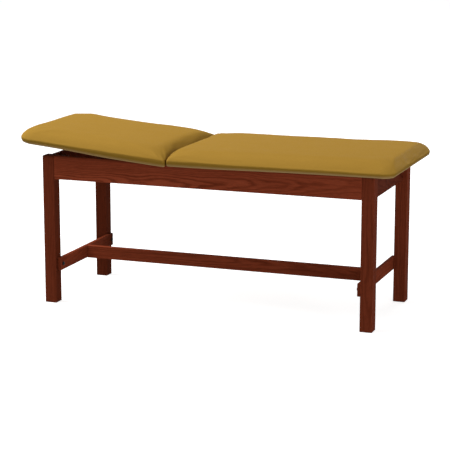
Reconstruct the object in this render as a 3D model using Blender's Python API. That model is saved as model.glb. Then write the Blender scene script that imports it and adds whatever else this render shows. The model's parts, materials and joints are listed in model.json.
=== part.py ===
"""Wooden treatment table with a stretcher frame and a lifting padded backrest.

Metres, +Z up. +X runs along the table to the foot end, the backrest is at -X.
The origin is under the middle of the table, on the floor, with the backrest
raised a few degrees as it is shown at rest.
"""

import math
from collections import namedtuple

import bmesh
import bpy
from mathutils import Vector

# Fits
GAP = 0.0003
RUNNING_CLEARANCE = 0.0004

# Wooden frame
FRAME_LENGTH = 1.604
FRAME_WIDTH = 0.640
FRAME_HEIGHT = 0.706
LEG_SIZE = 0.058
EDGE_BEVEL = 0.002
SIDE_APRON_HEIGHT = 0.110
SIDE_APRON_THICKNESS = 0.022
END_APRON_HEIGHT = 0.118
END_APRON_THICKNESS = 0.022
END_APRON_REVEAL = 0.021
TENON_LENGTH = 0.012
TENON_THICKNESS = 0.010
TENON_SHOULDER = 0.014
TENON_ROOT = 0.006

# Floor stretchers
STRETCHER_MID_HEIGHT = 0.186
END_STRETCHER_HEIGHT = 0.061
END_STRETCHER_THICKNESS = 0.019
END_STRETCHER_REVEAL = 0.021
LONG_STRETCHER_HEIGHT = 0.060
LONG_STRETCHER_THICKNESS = 0.025
LONG_TENON_LENGTH = 0.010
LONG_TENON_THICKNESS = 0.013
LONG_TENON_SHOULDER = 0.010
LAG_BOLT_RADIUS = 0.004
LAG_BOLT_DEPTH = 0.040
LAG_HEAD_RADIUS = 0.0090
LAG_HEAD_HEIGHT = 0.0045
LAG_POINT = 0.004

# Corner blocks, each drawn to its leg by a diagonal lag bolt
BLOCK_HEIGHT = 0.070
BLOCK_DROP = 0.006
BLOCK_REACH = 0.090
CORNER_BOLT_DEPTH = 0.038

# Flat rails under the fixed section
RAIL_WIDTH = 0.070
RAIL_THICKNESS = 0.022
RAIL_HOUSING = 0.008
HINGE_RAIL_OFFSET = 0.062
FOOT_RAIL_OFFSET = 0.560

# Padded top
TOP_WIDTH = 0.730
BODY_LENGTH = 1.060
BACKREST_LENGTH = 0.765
HINGE_FROM_MIDDLE = 0.165
BOARD_THICKNESS = 0.016
BOARD_INSET = 0.0090
COVER_THICKNESS = 0.0015
HEM_WIDTH = 0.036
HEM_WIDTH_AT_HINGE = 0.030
LIP_TUCK = 0.012
LIP_DROP = 0.002
ROLL_RADIUS_AT_HINGE = 0.002
SHOULDER_HEIGHT = 0.039
SIDE_SHOULDER = 0.115
END_SHOULDER = 0.050
BODY_HINGE_SHOULDER = 0.034
BACKREST_HINGE_SHOULDER = 0.125
SHOULDER_POWER = 2.6
SHOULDER_ROOT = 0.8
CROWN = 0.005
CROWN_POWER = 2.0
BODY_CORNER_RADIUS = 0.060
BACKREST_CORNER_RADIUS = 0.102
CORNER_RADIUS_AT_HINGE = 0.012
SHOULDER_CORNER_RADIUS = 0.060
SMALLEST_RADIUS = 0.006
LIP_ANGLES = (270.0, 235.0, 205.0)
SHOULDER_STEPS = (0.0, 0.04, 0.12, 0.26, 0.46, 0.72, 1.0)
CROWN_STEPS = (0.30, 0.65, 0.95)
CORNER_STEPS = 5
SIDE_STEPS = 6
END_STEPS = 5

# Backrest hinge
REST_ANGLE = math.radians(4.9)
HINGE_LENGTH = 0.630
KNUCKLES = 9
KNUCKLE_RADIUS = 0.0030
KNUCKLE_END_GAP = 0.0003
PIN_RADIUS = 0.0015
LEAF_THICKNESS = 0.0015
LEAF_DEPTH = 0.0150
LEAF_TOOTH_TOP = 0.0012
HINGE_SCREWS = 3
HINGE_SCREW_RADIUS = 0.0018
HINGE_SCREW_LENGTH = 0.022
HINGE_SCREW_DROP = 0.0095
HINGE_SCREW_HEAD_RADIUS = 0.0034
HINGE_SCREW_HEAD_HEIGHT = 0.0010
HINGE_SCREW_STAGGER = 0.015
HINGE_SCREW_POINT = 0.002

# Backrest struts. Both pivots are the same distance from the hinge axis, so the strut turns at half
# the backrest's rate.
STRUT_ARM = 0.105
STRUT_UPPER_ANGLE = math.radians(20.0)
STRUT_SPREAD = math.radians(75.0)
LIFT_MAX = math.radians(60.0)
STRUT_INSET = 0.0145
EYE_RADIUS = 0.009
EYE_WIDTH = 0.012
SHOULDER_RADIUS = 0.004
SHOULDER_HEAD_RADIUS = 0.0075
SHOULDER_HEAD_HEIGHT = 0.0035
SHOULDER_THREAD_RADIUS = 0.0028
SHOULDER_THREAD_LENGTH = 0.014
SHOULDER_PLAY = 0.0006
TUBE_RADIUS = 0.009
TUBE_WALL = 0.0015
TUBE_START = 0.007
TUBE_FLOOR = 0.014
TUBE_END = 0.117
GUIDE_LENGTH = 0.012
ROD_RADIUS = 0.004
ROD_START = 0.007
PISTON_LENGTH = 0.010
PISTON_STOP = 0.002
BRACKET_THICKNESS = 0.003
UPPER_PLATE_LENGTH = 0.050
UPPER_PLATE_DROP = 0.010
UPPER_PLATE_OFFSET = 0.0140
UPPER_FLANGE_WIDTH = 0.030
BRACKET_SCREW_RADIUS = 0.002
BRACKET_SCREW_HEAD_RADIUS = 0.0038
BRACKET_SCREW_HEAD_HEIGHT = 0.0018
BRACKET_SCREW_BITE = 0.012
BRACKET_SCREW_POINT = 0.002
BRACKET_SCREW_SPREAD = 0.034

# Screws that hold the fixed board to its rails
BOARD_SCREWS_PER_RAIL = 2
BOARD_SCREW_RADIUS = 0.0024
BOARD_SCREW_BITE = 0.012
BOARD_SCREW_HEAD_RADIUS = 0.0048
BOARD_SCREW_HEAD_HEIGHT = 0.0025
BOARD_SCREW_SPREAD = 0.360
BOARD_SCREW_POINT = 0.003

SCREW_TIP = 0.25
ROUND_STEPS = 16
SMALL_ROUND_STEPS = 10
SMOOTH_ANGLE = math.radians(32.0)

# Finishes: colour, roughness, metallic
STAINED_WOOD = ((0.110, 0.030, 0.018, 1.0), 0.45, 0.0)
PLYWOOD = ((0.520, 0.360, 0.200, 1.0), 0.70, 0.0)
VINYL = ((0.420, 0.250, 0.055, 1.0), 0.42, 0.0)
FOAM = ((0.820, 0.760, 0.560, 1.0), 0.95, 0.0)
ZINC = ((0.560, 0.560, 0.570, 1.0), 0.35, 1.0)
BLACK_STEEL = ((0.020, 0.020, 0.022, 1.0), 0.40, 0.6)
CHROME = ((0.760, 0.760, 0.770, 1.0), 0.12, 1.0)
NYLON = ((0.050, 0.050, 0.055, 1.0), 0.55, 0.0)

# Derived positions, from the middle of the wooden frame
HALF_LENGTH = FRAME_LENGTH / 2
HALF_WIDTH = FRAME_WIDTH / 2
LEG_INNER_X = HALF_LENGTH - LEG_SIZE
LEG_INNER_Y = HALF_WIDTH - LEG_SIZE
SIDE_APRON_INNER_Y = HALF_WIDTH - SIDE_APRON_THICKNESS
END_APRON_OUTER_X = HALF_LENGTH - END_APRON_REVEAL
END_APRON_INNER_X = END_APRON_OUTER_X - END_APRON_THICKNESS
STRETCHER_END_Y = HALF_WIDTH - END_STRETCHER_REVEAL
HINGE_X = -HINGE_FROM_MIDDLE
BOARD_SEAT = GAP + COVER_THICKNESS + GAP
AXIS_RISE = BOARD_SEAT + BOARD_THICKNESS
AXIS_HEIGHT = FRAME_HEIGHT + AXIS_RISE
LEAF_OUTER = KNUCKLE_RADIUS
COVER_SETBACK = LEAF_OUTER + GAP
BOARD_SETBACK = COVER_SETBACK + COVER_THICKNESS + GAP
LIP_HEIGHT = AXIS_RISE + LIP_DROP
LEAF_END_HOLE = HINGE_SCREW_RADIUS + GAP

# The middle of the table between its two padded ends, with the backrest at its rest angle
FOOT_END_X = HINGE_X + BODY_LENGTH
RAISED_END_X = (HINGE_X - (BACKREST_LENGTH - LIP_TUCK) * math.cos(REST_ANGLE)
                - math.hypot(LIP_TUCK * math.cos(REST_ANGLE), LIP_HEIGHT * math.sin(REST_ANGLE)))
CENTRE_SHIFT = -(FOOT_END_X + RAISED_END_X) / 2

# The two padded sections, each drawn from the hinge edge to its free end
Section = namedtuple("Section", "length direction hinge_shoulder corner_radius")
BODY = Section(BODY_LENGTH, 1, BODY_HINGE_SHOULDER, BODY_CORNER_RADIUS)
BACKREST = Section(BACKREST_LENGTH, -1, BACKREST_HINGE_SHOULDER, BACKREST_CORNER_RADIUS)


def clear_scene():
    for item in list(bpy.data.objects):
        bpy.data.objects.remove(item, do_unlink=True)


def make_empty(name, location, turn=0.0, parent=None):
    empty = bpy.data.objects.new(name, None)
    empty.location = location
    empty.rotation_euler = (0.0, turn, 0.0)
    empty.parent = parent
    bpy.context.scene.collection.objects.link(empty)
    return empty


def make_material(name, finish):
    colour, roughness, metallic = finish
    material = bpy.data.materials.new(name)
    material.use_nodes = True
    shader = material.node_tree.nodes["Principled BSDF"]
    shader.inputs["Base Color"].default_value = colour
    shader.inputs["Roughness"].default_value = roughness
    shader.inputs["Metallic"].default_value = metallic
    material.diffuse_color = colour
    return material


def make_object(name, shape, parent):
    bmesh.ops.recalc_face_normals(shape, faces=shape.faces)
    mesh = bpy.data.meshes.new(name)
    shape.to_mesh(mesh)
    shape.free()
    item = bpy.data.objects.new(name, mesh)
    item.parent = parent
    bpy.context.scene.collection.objects.link(item)
    return item


def make_part(name, shape, finish, parent, smooth=False):
    item = make_object(name, shape, parent)
    item.data.materials.append(make_material(name, finish))
    if smooth:
        item.data.shade_smooth()
        item.data.set_sharp_from_angle(angle=SMOOTH_ANGLE)
    return item


def apply_tool(item, shape, operation):
    tool = make_object(item.name + "_" + operation.lower() + "_tool", shape, item.parent)
    tool.hide_render = True
    tool.display_type = 'WIRE'
    modifier = item.modifiers.new(operation.lower(), 'BOOLEAN')
    modifier.operation = operation
    modifier.solver = 'EXACT'
    modifier.object = tool


def add_box(shape, low, high, bevel=0.0):
    corners = [shape.verts.new((x, y, z)) for x in (low[0], high[0]) for y in (low[1], high[1])
               for z in (low[2], high[2])]
    loops = ((0, 1, 3, 2), (4, 6, 7, 5), (0, 4, 5, 1), (2, 3, 7, 6), (0, 2, 6, 4), (1, 5, 7, 3))
    faces = [shape.faces.new([corners[i] for i in loop]) for loop in loops]
    if bevel:
        edges = list({edge for face in faces for edge in face.edges})
        bmesh.ops.bevel(shape, geom=edges, offset=bevel, segments=1, affect='EDGES', profile=0.5)
    return shape


def add_prism(shape, outline, low, high):
    """Upright prism on a plan outline."""
    face = shape.faces.new([shape.verts.new((x, y, low)) for x, y in outline])
    grown = bmesh.ops.extrude_face_region(shape, geom=[face])
    top = [v for v in grown["geom"] if isinstance(v, bmesh.types.BMVert)]
    bmesh.ops.translate(shape, verts=top, vec=(0.0, 0.0, high - low))
    return shape


def add_skin(shape, rings):
    """Bridges neighbouring rings of points and returns the rings' vertices."""
    loops = [[shape.verts.new(point) for point in ring] for ring in rings]
    for lower, upper in zip(loops, loops[1:]):
        count = len(lower)
        for i in range(count):
            shape.faces.new((lower[i], lower[(i + 1) % count], upper[(i + 1) % count], upper[i]))
    return loops


def add_soft_skin(shape, rings, top, flip=False):
    """Skin over rings of a soft form, closed by a fan to its top point. Every face is split the same way,
    so that two such skins keep their distance."""
    loops = [[shape.verts.new(point) for point in ring] for ring in rings]
    summit = shape.verts.new(top)
    triangles = []
    for lower, upper in zip(loops, loops[1:]):
        count = len(lower)
        for i in range(count):
            j = (i + 1) % count
            triangles.append((lower[i], lower[j], upper[j]))
            triangles.append((lower[i], upper[j], upper[i]))
    last = loops[-1]
    triangles += [(last[i], last[(i + 1) % len(last)], summit) for i in range(len(last))]
    for triangle in triangles:
        shape.faces.new(reversed(triangle) if flip else triangle)
    return loops


def add_turned(shape, start, along, profile, steps):
    """Turned solid: profile gives (distance, radius) along a direction, a closed section loop if it is
    hollow, capped ends otherwise."""
    axis = along.normalized()
    side = axis.orthogonal().normalized()
    other = axis.cross(side)
    hollow = profile[0] == profile[-1]
    points = profile[:-1] if hollow else profile
    rings = []
    for distance, radius in points:
        centre = start + axis * distance
        turn = [2.0 * math.pi * (i + 0.5) / steps for i in range(steps)]
        rings.append([centre + side * (radius * math.cos(a)) + other * (radius * math.sin(a)) for a in turn])
    loops = add_skin(shape, rings)
    if hollow:
        first, last = loops[0], loops[-1]
        for i in range(steps):
            j = (i + 1) % steps
            shape.faces.new((last[i], last[j], first[j], first[i]))
    else:
        shape.faces.new(list(reversed(loops[0])))
        shape.faces.new(loops[-1])
    return shape


def ring_section(low, high, inner, outer):
    return [(low, inner), (low, outer), (high, outer), (high, inner), (low, inner)]


ALONG_X = Vector((1.0, 0.0, 0.0))
ALONG_Y = Vector((0.0, 1.0, 0.0))
ALONG_Z = Vector((0.0, 0.0, 1.0))

SIDES = (("front", -1), ("rear", 1))
ENDS = (("head", -1), ("foot", 1))


def ordered_box(shape, a, b, bevel=0.0):
    low = [min(p, q) for p, q in zip(a, b)]
    high = [max(p, q) for p, q in zip(a, b)]
    return add_box(shape, low, high, bevel)


def add_screw(shape, foot, along, head, shank, length, point):
    """Screw with a flat round head at its foot; head and shank are (radius, height) and radius."""
    head_radius, head_height = head
    profile = [(0.0, head_radius), (head_height, head_radius), (head_height, shank), (length - point, shank),
               (length, shank * SCREW_TIP)]
    return add_turned(shape, foot, along, profile, SMALL_ROUND_STEPS)


def add_hole(shape, start, along, radius, length):
    return add_turned(shape, start, along, [(0.0, radius), (length, radius)], SMALL_ROUND_STEPS)


def add_thread_hole(shape, start, along, length):
    """Hole for a shoulder bolt's thread."""
    radius = SHOULDER_THREAD_RADIUS + GAP
    return add_turned(shape, start, along, [(0.0, radius), (length, radius)], ROUND_STEPS)


def lag_bolt_across():
    """Middle of an end stretcher's lap on a leg."""
    return (LEG_INNER_Y + STRETCHER_END_Y) / 2


def corner_line(end, side):
    """Leg corner where a corner bolt enters, and the bolt's direction out of the leg."""
    corner = Vector((LEG_INNER_X * end, LEG_INNER_Y * side, FRAME_HEIGHT - BLOCK_DROP - BLOCK_HEIGHT / 2))
    return corner, Vector((-end, -side, 0.0)).normalized()


def block_outline(end, side):
    leg_x = LEG_INNER_X - GAP
    leg_y = LEG_INNER_Y - GAP
    apron_x = END_APRON_INNER_X - GAP
    apron_y = SIDE_APRON_INNER_Y - GAP
    far_x = leg_x - BLOCK_REACH
    far_y = far_x + apron_y - apron_x
    outline = [(apron_x, far_y), (apron_x, leg_y), (leg_x, leg_y), (leg_x, apron_y), (far_x, apron_y)]
    return [(x * end, y * side) for x, y in outline]


def block_depth():
    """Distance along a corner bolt from the leg's corner to the block's slanted face."""
    outline = block_outline(1, 1)
    return (LEG_INNER_X + LEG_INNER_Y - outline[0][0] - outline[0][1]) / math.sqrt(2.0)


def side_tenon(end, side, grow):
    mid_y = (HALF_WIDTH - SIDE_APRON_THICKNESS / 2) * side
    half = TENON_THICKNESS / 2 + grow
    top = FRAME_HEIGHT - TENON_SHOULDER + grow
    foot = FRAME_HEIGHT - SIDE_APRON_HEIGHT + TENON_SHOULDER - grow
    near = (LEG_INNER_X - TENON_ROOT) * end
    far = (LEG_INNER_X + TENON_LENGTH + grow) * end
    return (near, mid_y - half, foot), (far, mid_y + half, top)


def end_tenon(end, side, grow):
    mid_x = (END_APRON_OUTER_X - END_APRON_THICKNESS / 2) * end
    half = TENON_THICKNESS / 2 + grow
    top = FRAME_HEIGHT - TENON_SHOULDER + grow
    foot = FRAME_HEIGHT - END_APRON_HEIGHT + TENON_SHOULDER - grow
    near = (LEG_INNER_Y - TENON_ROOT) * side
    far = (LEG_INNER_Y + TENON_LENGTH + grow) * side
    return (mid_x - half, near, foot), (mid_x + half, far, top)


def long_tenon(end, grow):
    half_y = LONG_TENON_THICKNESS / 2 + grow
    half_z = LONG_STRETCHER_HEIGHT / 2 - LONG_TENON_SHOULDER + grow
    inner = LEG_INNER_X - GAP - END_STRETCHER_THICKNESS
    return (((inner - TENON_ROOT) * end, -half_y, STRETCHER_MID_HEIGHT - half_z),
            ((inner + LONG_TENON_LENGTH + grow) * end, half_y, STRETCHER_MID_HEIGHT + half_z))


def rail_places():
    return (("hinge", HINGE_X + HINGE_RAIL_OFFSET), ("foot", HINGE_X + FOOT_RAIL_OFFSET))


def board_screw_rows():
    return [(i - (BOARD_SCREWS_PER_RAIL - 1) / 2) * BOARD_SCREW_SPREAD for i in range(BOARD_SCREWS_PER_RAIL)]


def lower_pivot():
    """Strut pivot on the frame, in the plane of the strut, from the hinge axis."""
    angle = math.pi + STRUT_UPPER_ANGLE + STRUT_SPREAD
    return STRUT_ARM * math.cos(angle), STRUT_ARM * math.sin(angle)


def upper_pivot(lift):
    """Strut pivot on the backrest at a lift angle above flat, from the hinge axis."""
    angle = math.pi + STRUT_UPPER_ANGLE - lift
    return STRUT_ARM * math.cos(angle), STRUT_ARM * math.sin(angle)


def strut_length(lift):
    return 2.0 * STRUT_ARM * math.sin((STRUT_SPREAD + lift) / 2)


def build_legs(root):
    hole = LAG_BOLT_RADIUS + GAP
    for end_name, end in ENDS:
        for side_name, side in SIDES:
            shape = bmesh.new()
            ordered_box(shape, (LEG_INNER_X * end, LEG_INNER_Y * side, 0.0),
                        (HALF_LENGTH * end, HALF_WIDTH * side, FRAME_HEIGHT), EDGE_BEVEL)
            leg = make_part("leg_" + end_name + "_" + side_name, shape, STAINED_WOOD, root)
            cuts = bmesh.new()
            ordered_box(cuts, *side_tenon(end, side, GAP))
            ordered_box(cuts, *end_tenon(end, side, GAP))
            start = Vector(((LEG_INNER_X - LAG_HEAD_RADIUS) * end, lag_bolt_across() * side,
                            STRETCHER_MID_HEIGHT))
            add_hole(cuts, start, ALONG_X * end, hole, LAG_HEAD_RADIUS + LAG_BOLT_DEPTH + GAP)
            corner, out = corner_line(end, side)
            add_hole(cuts, corner - out * (CORNER_BOLT_DEPTH + GAP), out, hole, CORNER_BOLT_DEPTH + LEG_SIZE)
            apply_tool(leg, cuts, 'DIFFERENCE')


def build_aprons(root):
    for side_name, side in SIDES:
        shape = bmesh.new()
        reach = LEG_INNER_X - GAP
        ordered_box(shape, (-reach, SIDE_APRON_INNER_Y * side, FRAME_HEIGHT - SIDE_APRON_HEIGHT),
                    (reach, HALF_WIDTH * side, FRAME_HEIGHT), EDGE_BEVEL)
        apron = make_part("side_apron_" + side_name, shape, STAINED_WOOD, root)
        tenons = bmesh.new()
        for _, end in ENDS:
            ordered_box(tenons, *side_tenon(end, side, 0.0))
        apply_tool(apron, tenons, 'UNION')
        cuts = bmesh.new()
        for _, x in rail_places():
            half = RAIL_WIDTH / 2 + GAP
            mouth = (SIDE_APRON_INNER_Y - RAIL_HOUSING) * side
            floor = (SIDE_APRON_INNER_Y + RAIL_HOUSING + GAP) * side
            ordered_box(cuts, (x - half, mouth, FRAME_HEIGHT - RAIL_THICKNESS - GAP),
                        (x + half, floor, FRAME_HEIGHT + RAIL_THICKNESS))
        x, z = lower_pivot()
        start = Vector((HINGE_X + x, (SIDE_APRON_INNER_Y - SHOULDER_THREAD_LENGTH) * side, AXIS_HEIGHT + z))
        add_thread_hole(cuts, start, ALONG_Y * side, 2.0 * SHOULDER_THREAD_LENGTH + GAP)
        apply_tool(apron, cuts, 'DIFFERENCE')
    for end_name, end in ENDS:
        shape = bmesh.new()
        reach = LEG_INNER_Y - GAP
        ordered_box(shape, (END_APRON_INNER_X * end, -reach, FRAME_HEIGHT - END_APRON_HEIGHT),
                    (END_APRON_OUTER_X * end, reach, FRAME_HEIGHT), EDGE_BEVEL)
        apron = make_part("end_apron_" + end_name, shape, STAINED_WOOD, root)
        tenons = bmesh.new()
        for _, side in SIDES:
            ordered_box(tenons, *end_tenon(end, side, 0.0))
        apply_tool(apron, tenons, 'UNION')


def build_stretchers(root):
    half_z = END_STRETCHER_HEIGHT / 2
    for end_name, end in ENDS:
        outer = (LEG_INNER_X - GAP) * end
        inner = (LEG_INNER_X - GAP - END_STRETCHER_THICKNESS) * end
        shape = bmesh.new()
        ordered_box(shape, (inner, -STRETCHER_END_Y, STRETCHER_MID_HEIGHT - half_z),
                    (outer, STRETCHER_END_Y, STRETCHER_MID_HEIGHT + half_z), EDGE_BEVEL)
        stretcher = make_part("end_stretcher_" + end_name, shape, STAINED_WOOD, root)
        cuts = bmesh.new()
        ordered_box(cuts, *long_tenon(end, GAP))
        for side_name, side in SIDES:
            face = Vector((inner, lag_bolt_across() * side, STRETCHER_MID_HEIGHT))
            add_hole(cuts, face - ALONG_X * (LAG_HEAD_RADIUS * end), ALONG_X * end, LAG_BOLT_RADIUS + GAP,
                     END_STRETCHER_THICKNESS + 2.0 * LAG_HEAD_RADIUS)
            shape = bmesh.new()
            length = LAG_HEAD_HEIGHT + GAP + END_STRETCHER_THICKNESS + GAP + LAG_BOLT_DEPTH
            add_screw(shape, face - ALONG_X * ((GAP + LAG_HEAD_HEIGHT) * end), ALONG_X * end,
                      (LAG_HEAD_RADIUS, LAG_HEAD_HEIGHT), LAG_BOLT_RADIUS, length, LAG_POINT)
            make_part("stretcher_lag_bolt_" + end_name + "_" + side_name, shape, BLACK_STEEL, root)
        apply_tool(stretcher, cuts, 'DIFFERENCE')
    shape = bmesh.new()
    reach = LEG_INNER_X - GAP - END_STRETCHER_THICKNESS - GAP
    half_y = LONG_STRETCHER_THICKNESS / 2
    half_z = LONG_STRETCHER_HEIGHT / 2
    add_box(shape, (-reach, -half_y, STRETCHER_MID_HEIGHT - half_z),
            (reach, half_y, STRETCHER_MID_HEIGHT + half_z), EDGE_BEVEL)
    stretcher = make_part("long_stretcher", shape, STAINED_WOOD, root)
    tenons = bmesh.new()
    for _, end in ENDS:
        ordered_box(tenons, *long_tenon(end, 0.0))
    apply_tool(stretcher, tenons, 'UNION')


def build_corner_blocks(root):
    depth = block_depth()
    top = FRAME_HEIGHT - BLOCK_DROP
    length = LAG_HEAD_HEIGHT + GAP + depth + CORNER_BOLT_DEPTH
    for end_name, end in ENDS:
        for side_name, side in SIDES:
            label = end_name + "_" + side_name
            shape = bmesh.new()
            add_prism(shape, block_outline(end, side), top - BLOCK_HEIGHT, top)
            block = make_part("corner_block_" + label, shape, PLYWOOD, root)
            corner, out = corner_line(end, side)
            cuts = bmesh.new()
            add_hole(cuts, corner - out * CORNER_BOLT_DEPTH, out, LAG_BOLT_RADIUS + GAP,
                     length + LAG_HEAD_RADIUS)
            apply_tool(block, cuts, 'DIFFERENCE')
            shape = bmesh.new()
            add_screw(shape, corner + out * (depth + GAP + LAG_HEAD_HEIGHT), out * -1.0,
                      (LAG_HEAD_RADIUS, LAG_HEAD_HEIGHT), LAG_BOLT_RADIUS, length, LAG_POINT)
            make_part("corner_lag_bolt_" + label, shape, ZINC, root)


def build_rails(root):
    reach = SIDE_APRON_INNER_Y + RAIL_HOUSING
    half = RAIL_WIDTH / 2
    under = FRAME_HEIGHT - RAIL_THICKNESS
    length = BOARD_SCREW_HEAD_HEIGHT + GAP + RAIL_THICKNESS + BOARD_SEAT + BOARD_SCREW_BITE
    for rail_name, x in rail_places():
        shape = bmesh.new()
        add_box(shape, (x - half, -reach, under), (x + half, reach, FRAME_HEIGHT))
        rail = make_part("cross_rail_" + rail_name, shape, PLYWOOD, root)
        cuts = bmesh.new()
        for number, y in enumerate(board_screw_rows(), 1):
            add_hole(cuts, Vector((x, y, under - RAIL_THICKNESS)), ALONG_Z, BOARD_SCREW_RADIUS + GAP,
                     3.0 * RAIL_THICKNESS)
            shape = bmesh.new()
            add_screw(shape, Vector((x, y, under - GAP - BOARD_SCREW_HEAD_HEIGHT)), ALONG_Z,
                      (BOARD_SCREW_HEAD_RADIUS, BOARD_SCREW_HEAD_HEIGHT), BOARD_SCREW_RADIUS, length,
                      BOARD_SCREW_POINT)
            make_part("board_screw_" + rail_name + "_" + str(number), shape, ZINC, root)
        apply_tool(rail, cuts, 'DIFFERENCE')


def plan_ring(section, insets, heights, radii):
    """Rounded plan outline of a padded section at one level. The hinge edge is at x = 0 and the free end at
    the section's length, mirrored by its direction. Insets are those of the sides, free end and hinge edge,
    heights those of the sides and hinge edge, radii those of the corners at the free end and at the hinge."""
    side_inset, end_inset, hinge_inset = insets
    side_height, hinge_height = heights
    outer, inner = radii
    far = section.length - end_inset
    half = TOP_WIDTH / 2 - side_inset
    points = []

    def add_corner(cx, cy, radius, first, first_height, last_height):
        for i in range(CORNER_STEPS + 1):
            share = i / CORNER_STEPS
            angle = math.radians(first + 90.0 * share)
            height = first_height + (last_height - first_height) * share
            points.append((cx + radius * math.cos(angle), cy + radius * math.sin(angle), height))

    def add_edge(target, steps):
        start = points[-1]
        for i in range(1, steps):
            share = i / steps
            points.append(tuple(a + (b - a) * share for a, b in zip(start, target)))

    add_corner(hinge_inset + inner, -half + inner, inner, 180.0, hinge_height, side_height)
    add_edge((far - outer, -half, side_height), SIDE_STEPS)
    add_corner(far - outer, -half + outer, outer, 270.0, side_height, side_height)
    add_edge((far, half - outer, side_height), END_STEPS)
    add_corner(far - outer, half - outer, outer, 0.0, side_height, side_height)
    add_edge((hinge_inset + inner, half, side_height), SIDE_STEPS)
    add_corner(hinge_inset + inner, half - inner, inner, 90.0, side_height, hinge_height)
    add_edge((hinge_inset, -half + inner, hinge_height), END_STEPS)
    return [(x * section.direction, y, z) for x, y, z in points]


def level_ring(section, side_inset, hinge_inset, side_height, hinge_height):
    """Plan outline of the lip, hem or board, with the sides and the free end alike."""
    radii = (max(section.corner_radius - side_inset, SMALLEST_RADIUS),
             max(CORNER_RADIUS_AT_HINGE - max(side_inset, hinge_inset), SMALLEST_RADIUS))
    return plan_ring(section, (side_inset, side_inset, hinge_inset), (side_height, hinge_height), radii)


def crowned(section, ring):
    """Lifts a ring of the top face onto the crown."""
    near = COVER_SETBACK + section.hinge_shoulder
    far = section.length - END_SHOULDER
    half = TOP_WIDTH / 2 - SIDE_SHOULDER
    lifted = []
    for x, y, z in ring:
        u = min(abs((x * section.direction - (near + far) / 2) / ((far - near) / 2)), 1.0)
        v = min(abs(y / half), 1.0)
        lifted.append((x, y, z + CROWN * (1.0 - u ** CROWN_POWER) * (1.0 - v ** CROWN_POWER)))
    return lifted


def summit_point(section, inset):
    middle = (COVER_SETBACK + section.hinge_shoulder + section.length - END_SHOULDER) / 2
    return crowned(section, [(middle * section.direction, 0.0, SHOULDER_HEIGHT - inset)])[0]


def shoulder_rise(share):
    return (1.0 - (1.0 - share) ** SHOULDER_POWER) ** SHOULDER_ROOT


def upper_rings(section, inset, floor=0.0):
    """Shoulder and crowned top of a cushion surface that lies inset inside the outer one. Its first ring is
    where the lowest slope of the shoulder meets the floor."""
    rings = []
    shoulders = (SIDE_SHOULDER, END_SHOULDER, section.hinge_shoulder)
    steep = SHOULDER_STEPS[1]
    lowest = steep * floor / ((SHOULDER_HEIGHT - inset) * shoulder_rise(steep))
    for share in (lowest,) + SHOULDER_STEPS[1:]:
        height = floor if share == lowest else (SHOULDER_HEIGHT - inset) * shoulder_rise(share)
        side, end, hinge = [width - (width - inset) * (1.0 - share) for width in shoulders]
        radii = [radius + (SHOULDER_CORNER_RADIUS - radius) * share
                 for radius in (section.corner_radius - inset, CORNER_RADIUS_AT_HINGE - inset)]
        rings.append(plan_ring(section, (side, end, COVER_SETBACK + hinge), (height, height), radii))
    span = TOP_WIDTH / 2 - SIDE_SHOULDER - SMALLEST_RADIUS
    level = SHOULDER_HEIGHT - inset
    for share in CROWN_STEPS:
        side, end, hinge = [width + span * share for width in shoulders]
        radius = SHOULDER_CORNER_RADIUS + (SMALLEST_RADIUS - SHOULDER_CORNER_RADIUS) * share
        ring = plan_ring(section, (side, end, COVER_SETBACK + hinge), (level, level), (radius, radius))
        rings.append(crowned(section, ring))
    return rings


def lower_rings(section, inset):
    """Turned-under hem and tucked-in lip of the cover, heights from the hinge axis."""
    hem_height = GAP - AXIS_RISE
    level = hem_height + inset
    rings = [level_ring(section, HEM_WIDTH, HEM_WIDTH_AT_HINGE, level, level)]
    for degrees in LIP_ANGLES:
        angle = math.radians(degrees)
        side = LIP_TUCK + (LIP_TUCK - inset) * math.cos(angle)
        side_height = (LIP_HEIGHT - inset) * math.sin(angle)
        hinge = COVER_SETBACK + ROLL_RADIUS_AT_HINGE + (ROLL_RADIUS_AT_HINGE - inset) * math.cos(angle)
        hinge_height = hem_height + ROLL_RADIUS_AT_HINGE + (ROLL_RADIUS_AT_HINGE - inset) * math.sin(angle)
        rings.append(level_ring(section, side, hinge, side_height, hinge_height))
    return rings


def cushion_cover(section):
    shape = bmesh.new()
    faces = []
    for inset in (0.0, COVER_THICKNESS):
        rings = lower_rings(section, inset) + upper_rings(section, inset)
        faces.append(add_soft_skin(shape, rings, summit_point(section, inset), inset > 0.0))
    outer, inner = faces
    count = len(outer[0])
    for i in range(count):
        j = (i + 1) % count
        shape.faces.new((outer[0][j], outer[0][i], inner[0][i], inner[0][j]))
    return shape


def cushion_foam(section):
    shape = bmesh.new()
    inset = COVER_THICKNESS + GAP
    loops = add_soft_skin(shape, upper_rings(section, inset, GAP), summit_point(section, inset))
    shape.faces.new(list(reversed(loops[0])))
    return shape


def cushion_board(section):
    shape = bmesh.new()
    levels = (-BOARD_THICKNESS, 0.0)
    loops = add_skin(shape, [level_ring(section, BOARD_INSET, BOARD_SETBACK, z, z) for z in levels])
    shape.faces.new(list(reversed(loops[0])))
    shape.faces.new(loops[-1])
    return shape


def hinge_screw_places(direction):
    """Places along the hinge, staggered between the two leaves."""
    pitch = HINGE_LENGTH / HINGE_SCREWS
    first = (pitch - HINGE_LENGTH) / 2 + HINGE_SCREW_STAGGER * direction
    return [first + i * pitch for i in range(HINGE_SCREWS)]


def hinge_screw_holes(shape, direction):
    for y in hinge_screw_places(direction):
        add_hole(shape, Vector((0.0, y, -HINGE_SCREW_DROP)), ALONG_X * direction, LEAF_END_HOLE,
                 LEAF_OUTER + HINGE_SCREW_LENGTH + GAP)
    return shape


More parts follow.
